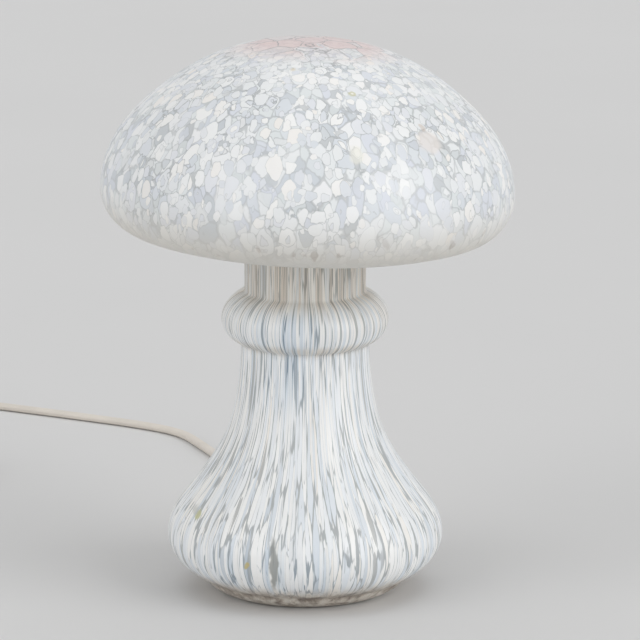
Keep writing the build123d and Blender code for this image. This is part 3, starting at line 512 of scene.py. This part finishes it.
def chipped(s):
    """The cap: rounded chips that lie side by side and over each other, blurred at the thick rim."""
    chip = s.kept("chips", "Vector")
    blush = s.kept("blush")
    wobbly = s.warp(s.warp(chip, 0.6, 0.25), 2.8, 0.10)
    # outlines are crisp in some places, faint in others, and strongest near the crown
    crisp = s.between(s.cloud(s.shift(chip, (2, 7, 5)), 0.2, 1.0), 0.38, 0.60, 0.25, 0.75)
    height = s.add("SeparateXYZ", {"Vector": s.place()}).outputs["Z"]
    crisp = s.calc("MULTIPLY", crisp, s.between(height, 0.235, 0.285, 0.85, 1.5))
    low = Chips(s, s.shift(wobbly, (7.3, 2.2, 4.1)), 1.1, 0.55, 0.3)
    whole = s.between(low.depth, -0.02, 0.08, 0.40, 1.0)
    colour = s.mix(whole, s.mix(crisp, GROUND, OUTLINE), s.ramp(low.tone, COVER))
    middle = Chips(s, s.shift(wobbly, (1.7, 9.4, 3.3)), 1.3, 0.40)
    colour = middle.over(colour, 0.45, COVER, 0.8, crisp, 0.12)
    large = Chips(s, wobbly, 0.95, 0.40, 0.7)
    colour = large.over(colour, 0.55, WHITES, 0.95, crisp, 0.06)
    small = Chips(s, s.shift(wobbly, (4.4, 6.1, 9.2)), 1.35, 0.36, 0.7)
    colour = small.over(colour, 0.48, WHITES, 0.93, crisp, 0.07)
    least = Chips(s, s.shift(wobbly, (8.8, 3.7, 5.5)), 2.2, 0.32, 0.7)
    colour = least.over(colour, 0.15, WHITES, 0.9, 0.4, 0.10)
    # pink and peach at the crown, with thin grey cracks
    patch = Chips(s, s.warp(s.shift(chip, (3, 8, 2)), 0.8, 0.35, 2.0), 0.42, 0.6)
    pinkness = s.calc("MULTIPLY", blush, s.between(patch.chance, 0.70, 0.75, 0.8, 0.25))
    colour = s.mix(pinkness, colour, s.ramp(patch.tone, PINKS))
    beside_edge = s.between(s.calc("ABSOLUTE", patch.depth), 0.0, 0.045, 0.85, 0.0)
    colour = s.mix(s.calc("MULTIPLY", blush, beside_edge), colour, CRACK)
    colour = marked(s, specked(s, chip, colour, 0.30, (0.62, 0.52, 0.32)), CAP_MARKS)
    # the rim: creamy glass with brown flecks
    fleck = s.between(s.cloud(s.stretch(chip, (1.0, 1.0, 0.8)), 1.1, 1.0), 0.66, 0.72, 0.0, 0.6)
    rim = s.mix(fleck, s.mix(0.86, colour, CREAM), FLECK)
    return s.mix(s.kept("warm"), colour, rim), large.depth


def streaked(s):
    """The base: the chips drawn out into long white strips, with slits of darker glass between."""
    chip = s.kept("chips", "Vector")
    cool = s.kept("cool")
    wobbly = s.warp(s.warp(chip, 0.35, 0.2), 1.6, 0.12)
    strips = Chips(s, wobbly, 1.0, 0.6, 0.3)
    parting = s.cloud(s.stretch(s.shift(chip, (3, 3, 3)), (1.0, 1.0, 2.2)), 1.0, 2.0)
    opening = s.between(parting, 0.42, 0.72, -0.03, 0.11, False)
    whole = s.between(s.calc("SUBTRACT", strips.depth, opening), -0.01, 0.06)
    colour = s.mix(whole, s.mix(cool, *SLITS), s.ramp(strips.tone, STRIPS))
    # narrow tongues over them, then gaps of half-clear glass
    narrow = Chips(s, s.stretch(s.shift(wobbly, (2.1, 5.2, 8.3)), (1.3, 1.3, 0.9)), 1.0, 0.45)
    colour = narrow.over(colour, 0.5, STRIPS, 0.92, 0.6, 0.07)
    clear = Chips(s, s.stretch(s.shift(wobbly, (7.3, 2.2, 4.1)), (0.9, 0.9, 1.1)), 1.0, 0.5)
    colour = s.mix(clear.body(0.10, 0.16, 0.08, 0.85), colour, s.mix(cool, *GAPS))
    # blue-grey and creamy families of strips
    family = s.cloud(s.stretch(chip, (0.8, 0.8, 0.3)), 1.0, 1.0)
    blue = s.calc("MULTIPLY", s.between(family, 0.50, 0.58, 0.0, 0.7), cool)
    colour = s.tint(blue, colour, BLUE_TINT)
    # warm tint: beige glass, and over the ring's top and the neck partly painted shade of the cap
    colour = s.tint(s.kept("warm"), colour, s.mix(s.between(family, 0.40, 0.60), *WARM_TINTS))
    # the foot is thick beige glass, with brown mottling along its crease
    stain = s.cloud(s.warp(s.place(), 90, 0.004, 2.0), 150, 4.0, 0.65)
    stain = s.calc("SUBTRACT", stain, s.calc("MULTIPLY", s.kept("crease"), 0.10))
    colour = s.mix(s.calc("MULTIPLY", s.kept("foot"), 0.9), colour, s.ramp(stain, FOOT_STAINS))
    return marked(s, specked(s, chip, colour, 0.16, (0.64, 0.58, 0.34)), BASE_MARKS), strips.depth


def finish_glass(piece, node, body, material, pattern):
    """Gives a piece of glass its pattern and its body, and hides the node that it stands for."""
    s = Shader(material)
    colour, depth = pattern(s)
    s.look(
        Base_Color=colour,
        Roughness=s.between(depth, 0.0, 0.2, 0.46, 0.37),
        Specular_IOR_Level=0.4,
        Subsurface_Weight=0.12,
        Subsurface_Radius=(1.0, 1.0, 0.9),
        Subsurface_Scale=0.003,
        Coat_Weight=0.1,
        Coat_Roughness=0.15,
        IOR=1.5,
        Normal=s.bump(s.between(depth, -0.05, 0.2), 0.0002, 0.3),
    )
    piece.data.materials.append(s.material)
    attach(piece, body)
    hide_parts(node)


finish_glass(base_glass, "glass_base", "base", "streaked_opal_glass", streaked)
finish_glass(cap_glass, "glass_cap", "cap", "chipped_opal_glass", chipped)


# ---------------------------------------------------------------- plain materials
def moulded(name, colour, roughness, grain=0.00003, scale=900.0):
    """Moulded plastic or rubber: a fine grain, a little unevenness in tone and in sheen."""
    s = Shader(name)
    place = s.place()
    return s.look(
        Base_Color=s.uneven(colour, place, 60.0, 3.0, 0.93, 1.04),
        Roughness=s.spread(s.cloud(place, 25.0), roughness - 0.06, roughness + 0.08),
        Normal=s.bump(s.cloud(place, scale), grain, 0.5),
    )


def metal(name, colour, roughness):
    """Plated or bare metal with faint turning marks and a slightly uneven sheen."""
    s = Shader(name)
    place = s.place()
    marks = s.cloud(s.stretch(place, (60, 60, 2400)), 1.0)
    return s.look(
        Base_Color=s.uneven(colour, place, 90.0, 3.0, 0.88, 1.05),
        Metallic=1.0,
        Roughness=s.spread(marks, roughness - 0.08, roughness + 0.1),
        Normal=s.bump(marks, 0.00002, 0.4),
    )


def smooth_glass(name, colour, roughness):
    """Glass of the bulb: faintly cloudy in tone, with a sheen that changes a little from place to place."""
    s = Shader(name)
    place = s.place()
    return s.look(
        Base_Color=s.uneven(colour, place, 70.0, 2.0, 0.95, 1.02),
        Roughness=s.spread(s.cloud(place, 40.0), 0.8 * roughness, 1.2 * roughness),
    )


zinc = metal("zinc_plated_steel", (0.62, 0.62, 0.61), 0.32)
brass = metal("bare_brass", (0.78, 0.62, 0.34), 0.28)
nickel = metal("nickel_plated_brass", (0.72, 0.70, 0.66), 0.22)
aluminium = metal("rolled_aluminium", (0.76, 0.76, 0.77), 0.30)
tungsten = metal("tungsten", (0.25, 0.25, 0.27), 0.45)
soft_ring = moulded("soft_ring", (0.72, 0.71, 0.66), 0.62)
white_plastic = moulded("holder_plastic", (0.86, 0.85, 0.80), 0.38)
ceramic = moulded("holder_ceramic", (0.88, 0.86, 0.80), 0.55, 0.00006, 500.0)
core_plastic = moulded("core_plastic", (0.42, 0.30, 0.20), 0.45)
flex_plastic = moulded("flex_plastic", (0.70, 0.65, 0.585), 0.42)
switch_plastic = moulded("switch_plastic", (0.79, 0.77, 0.70), 0.36)
rocker_plastic = moulded("rocker_plastic", (0.82, 0.80, 0.74), 0.20, 0.00001)
plug_plastic = moulded("plug_plastic", (0.77, 0.75, 0.68), 0.40)
opal = smooth_glass("bulb_opal", (0.92, 0.91, 0.87), 0.30).look(Subsurface_Weight=0.2, Subsurface_Scale=0.003)
black_glass = smooth_glass("bulb_black_glass", (0.03, 0.03, 0.03), 0.15)
clear_glass = smooth_glass("bulb_clear_glass", (0.90, 0.92, 0.92), 0.05).look(Transmission_Weight=0.9)

CARRIER = ("carrier_plate", "plate_skirt", "cap_collar", "clamp_bar", "threaded_tube", "tube_nuts", "tube_washers")
for names, shader in (
    ((*CARRIER, "terminal_screws", "switch_screws"), zinc),
    (("thread_sleeve", "centre_contact", "switch_contacts", "rocker_bridge"), brass),
    (("plug_pins",), nickel),
    (("bulb_screw_cap", "bulb_tip"), aluminium),
    (("bulb_filament",), tungsten),
    (("neck_gasket", "cap_seat_ring", "clamp_pads"), soft_ring),
    (("cord_bush", "holder_cap", "holder_shell"), white_plastic),
    (("holder_insert",), ceramic),
    (("lead_wires",), core_plastic),
    (("cord_grommet",), flex_plastic),
    (("switch_base", "switch_cover"), switch_plastic),
    (("switch_rocker",), rocker_plastic),
    (("plug_body", "plug_pin_sleeves"), plug_plastic),
    (("bulb_glass",), opal),
    (("bulb_insulator",), black_glass),
    (("bulb_stem",), clear_glass),
):
    for node in names:
        materials = nodes[node].data.materials
        materials.clear()
        materials.append(shader.material)


# ---------------------------------------------------------------- cords
HOLE = 30.0  # height of the hole in the back
EXIT = 100.624  # where the cord leaves the grommet's sleeve
FLAT = 2.25  # centre of the flat flex where it lies on the table
UPPER = 6.75  # centre of the coil's upper layer
FLEX_WIDTH = 6.0
TO_SWITCH = [
    (0, EXIT, HOLE),
    (0, EXIT + 25, HOLE),
    (-3, 150, 18),
    (-13, 179, 3.6),
    (-26, 211, FLAT),
    (-38.5, 241, FLAT),
    (-50, 271, FLAT),
    (-63.5, 306, FLAT),
    (-77.5, 341, FLAT),
    (-104, 362, FLAT),
    (-146, 385, FLAT),
    (-190, 408, FLAT),
    (-222, 424, FLAT),
    (-247, 428, FLAT),
    (-273, 416, FLAT),
    (-284, 386, 7.0),
    (-284, 360, 7.0),
]
INSIDE = [
    (0, 0, 201.0),
    (0, 0, 112),
    (0, 10, 72),
    (0, 32, 40),
    (0, 58, HOLE),
    (0, EXIT, HOLE),
]


def coil_points(x, y, low, high):
    """Control points of a two-layer coil: half turns inwards, up, and half turns outwards."""
    steps = 8  # points in a half turn
    grown = 1 / math.cos(math.pi / (2 * steps))
    radius, change, side = 37.5, 3.3, 1
    points = [(x, y, low)]
    turns = [(low, low, -change)] * 5 + [(low, high, change)] + [(high, high, change)] * 6
    for start, end, growth in turns:
        for k in range(1, steps):
            a = math.pi * k / steps
            across, forward = 1 - grown * math.cos(a), grown * math.sin(a)
            height = start + (end - start) * k / steps
            points.append((x + side * radius * across, y - side * radius * forward, height))
        x += side * 2 * radius
        radius += growth
        side = -side
        points.append((x, y, end))
    return points


TO_PLUG = [(-284, 312, 7.0), (-284, 291, 7.0), (-284, 267, FLAT + 0.3), (-284, 254, FLAT)]
TO_PLUG += coil_points(-284, 240, FLAT, UPPER)
TO_PLUG += [(-284, 226, UPPER), (-284, 210, UPPER + 0.2), (-284, 184.5, 6.85), (-284, 158, 6.85)]


def nurbs_line(name, points):
    """The points of the smooth curve that those control points give, in metres."""
    curve = bpy.data.curves.new(name, "CURVE")
    curve.dimensions = "3D"
    spline = curve.splines.new("NURBS")
    spline.points.add(len(points) - 1)
    for point, place in zip(spline.points, points):
        point.co = (*(c * MM for c in place), 1.0)
    spline.order_u = 3
    spline.use_endpoint_u = True
    spline.resolution_u = 8
    holder = link(name, curve)
    bpy.context.view_layer.update()
    line = bpy.data.meshes.new_from_object(holder.evaluated_get(bpy.context.evaluated_depsgraph_get()))
    found = [v.co.copy() for v in line.vertices]
    bpy.data.objects.remove(holder)
    bpy.data.meshes.remove(line)
    return found


def section(width, thickness, count=20):
    """A two-core flex cut across: a rounded bar with a shallow groove along each flat."""
    outline = []
    roundness = 2 / 2.6  # 1 is an ellipse, and less is fuller at the corners
    for k in range(count):
        a = 2 * math.pi * k / count
        c, s = math.cos(a), math.sin(a)
        across = math.copysign(abs(c) ** roundness, c) * width / 2
        up = math.copysign(abs(s) ** roundness, s) * thickness / 2
        up *= 1 - 0.10 * math.exp(-((across / (0.16 * width)) ** 2))
        outline.append((across, up))
    return outline


def flex(name, line, thickness, upright, stands_for):
    """A flat flex along a line. upright(share) is 1 where it stands on its edge and 0 where it lies."""
    mesh = bmesh.new()
    shape = section(FLEX_WIDTH, thickness)
    loops, run = [], [0.0]
    for a, b in zip(line, line[1:]):
        run.append(run[-1] + (b - a).length)
    for index, point in enumerate(line):
        ahead = line[min(index + 1, len(line) - 1)] - line[max(index - 1, 0)]
        tangent = ahead.normalized()
        up = Vector((0, 0, 1)) if abs(tangent.z) < 0.97 else Vector((0, 1, 0))
        side = tangent.cross(up).normalized()
        up = side.cross(tangent)
        turn = Matrix.Rotation(math.radians(90) * upright(run[index] / run[-1]), 3, tangent)
        side, up = turn @ side, turn @ up
        loops.append([mesh.verts.new(point + side * x * MM + up * y * MM) for x, y in shape])
    for low, high in zip(loops, loops[1:]):
        for k in range(len(shape)):
            n = (k + 1) % len(shape)
            mesh.faces.new((low[k], low[n], high[n], high[k])).smooth = True
    mesh.faces.new(loops[0])
    mesh.faces.new(loops[-1][::-1])
    piece = as_piece(name, mesh)
    piece.data.materials.append(flex_plastic.material)
    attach(piece, "base")
    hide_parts(*stands_for)
    return piece


to_switch_line = nurbs_line("to_switch_line", TO_SWITCH)
to_plug_line = nurbs_line("to_plug_line", TO_PLUG)
inside_line = nurbs_line("inside_line", INSIDE)
flex_to_switch = flex(
    "flex_to_switch", to_switch_line, 4.4, lambda share: 1 - ease(share, 0.08, 0.21), ["cord_to_switch"]
)
flex_to_plug = flex(
    "flex_to_plug", to_plug_line, 4.4, lambda share: 0.0, ["cord_from_switch", "cord_coil", "cord_tail"]
)
flex("flex_inside", inside_line, 4.0, lambda share: ease(share, 0.4, 0.8), ["inner_cord"])


# ---------------------------------------------------------------- stage, light and camera
FLOOR_GREY = 0.74
FLOOR_DEPTH = -0.0002  # just under the foot, in metres
ROOM_LIGHT, ROOM_SEEN = 0.46, 0.85  # strengths that light the object, and that the camera and gloss see

pale = Shader("pale_floor")
pale.look(
    Base_Color=pale.uneven((FLOOR_GREY,) * 3, pale.place(), 3.0, 3.0, 0.985, 1.0),
    Roughness=0.8,
    Specular_IOR_Level=0.1,
)
floor = lathe("floor", [(radius, FLOOR_DEPTH) for radius in (0, 1.0, 40.0)], 64, closed=False)
floor.data.materials.append(pale.material)

world = bpy.data.worlds.new("pale_room")
world.use_nodes = True
scene.world = world
tree = world.node_tree
background = tree.nodes["Background"]
background.inputs["Color"].default_value = (1, 1, 1, 1)
ray = tree.nodes.new("ShaderNodeLightPath")
seen = ray.outputs["Is Camera Ray"]
for kind in ("Is Glossy Ray", "Is Transmission Ray"):
    either = tree.nodes.new("ShaderNodeMath")
    either.operation = "MAXIMUM"
    tree.links.new(seen, either.inputs[0])
    tree.links.new(ray.outputs[kind], either.inputs[1])
    seen = either.outputs[0]
strength = tree.nodes.new("ShaderNodeMapRange")
strength.inputs["To Min"].default_value = ROOM_LIGHT
strength.inputs["To Max"].default_value = ROOM_SEEN
tree.links.new(seen, strength.inputs["Value"])
tree.links.new(strength.outputs["Result"], background.inputs["Strength"])

# Even light from the direction of each place, as soft as a screen that many degrees wide.
for name, place, energy, width in (
    ("key", (2.0, -1.2, 1.0), 1.32, 50),
    ("fill", (-1.7, -1.2, 0.9), 0.85, 55),
    ("top", (0.0, 0.3, 1.6), 0.35, 60),
):
    light = bpy.data.lights.new(name, "SUN")
    light.energy = energy
    light.angle = math.radians(width)
    holder = link(name, light)
    holder.location = place
    holder.rotation_euler = Vector(place).to_track_quat("Z", "Y").to_euler()

camera_data = bpy.data.cameras.new("camera")
camera_data.lens = 270
camera_data.sensor_width = 36
camera_data.shift_x = 0.0231
camera_data.clip_end = 30
camera = link("camera", camera_data)
camera.location = (0, -2.6, 0.7426)
looked_at = Vector((0, 0, 0.1526))
camera.rotation_euler = (looked_at - camera.location).to_track_quat("-Z", "Y").to_euler()
scene.camera = camera
scene.view_settings.view_transform = "Standard"
